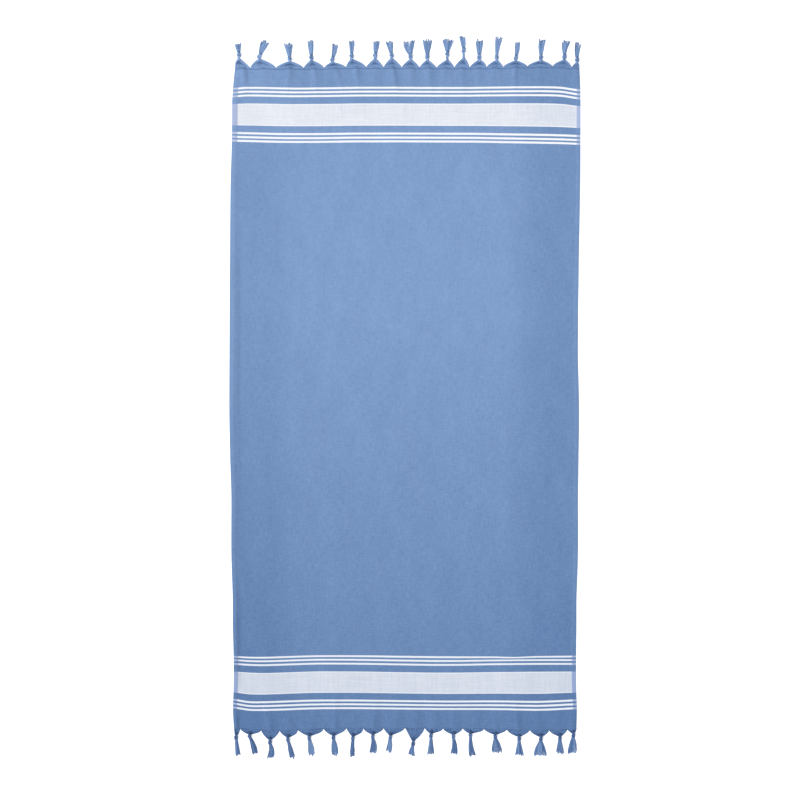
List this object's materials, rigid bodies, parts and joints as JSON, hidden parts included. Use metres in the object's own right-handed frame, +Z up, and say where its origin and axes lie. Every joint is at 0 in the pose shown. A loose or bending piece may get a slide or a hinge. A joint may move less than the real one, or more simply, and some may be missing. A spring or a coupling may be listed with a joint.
{
  "type": "hammam towel",
  "caption": "Flat-woven cotton towel lying open, blue with pale woven stripes near both ends, its warp ends knotted into tassels.",
  "frame": {"origin": "on the floor under the middle of the towel's box", "axes": "+X across the towel, +Y along it towards its far end, +Z up out of its face; the towel lies on z = 0"},
  "size_m": [0.9135, 1.883, 0.0068],
  "materials": {
    "woven_cotton": "matt flat-woven cotton, blue with off-white woven stripes near both ends",
    "knotted_warp": "matt loose cotton yarn, frayed at its tips"
  },
  "bodies": {
    "root": {"cloth": "woven_cotton", "far_tassel_01": "knotted_warp", "far_tassel_02": "knotted_warp", "far_tassel_03": "knotted_warp", "far_tassel_04": "knotted_warp", "far_tassel_05": "knotted_warp", "far_tassel_06": "knotted_warp", "far_tassel_07": "knotted_warp", "far_tassel_08": "knotted_warp", "far_tassel_09": "knotted_warp", "far_tassel_10": "knotted_warp", "far_tassel_11": "knotted_warp", "far_tassel_12": "knotted_warp", "far_tassel_13": "knotted_warp", "far_tassel_14": "knotted_warp", "far_tassel_15": "knotted_warp", "far_tassel_16": "knotted_warp", "far_tassel_17": "knotted_warp", "far_tassel_18": "knotted_warp", "near_tassel_01": "knotted_warp", "near_tassel_02": "knotted_warp", "near_tassel_03": "knotted_warp", "near_tassel_04": "knotted_warp", "near_tassel_05": "knotted_warp", "near_tassel_06": "knotted_warp", "near_tassel_07": "knotted_warp", "near_tassel_08": "knotted_warp", "near_tassel_09": "knotted_warp", "near_tassel_10": "knotted_warp", "near_tassel_11": "knotted_warp", "near_tassel_12": "knotted_warp", "near_tassel_13": "knotted_warp", "near_tassel_14": "knotted_warp", "near_tassel_15": "knotted_warp", "near_tassel_16": "knotted_warp", "near_tassel_17": "knotted_warp", "near_tassel_18": "knotted_warp"}
  },
  "joints": []
}
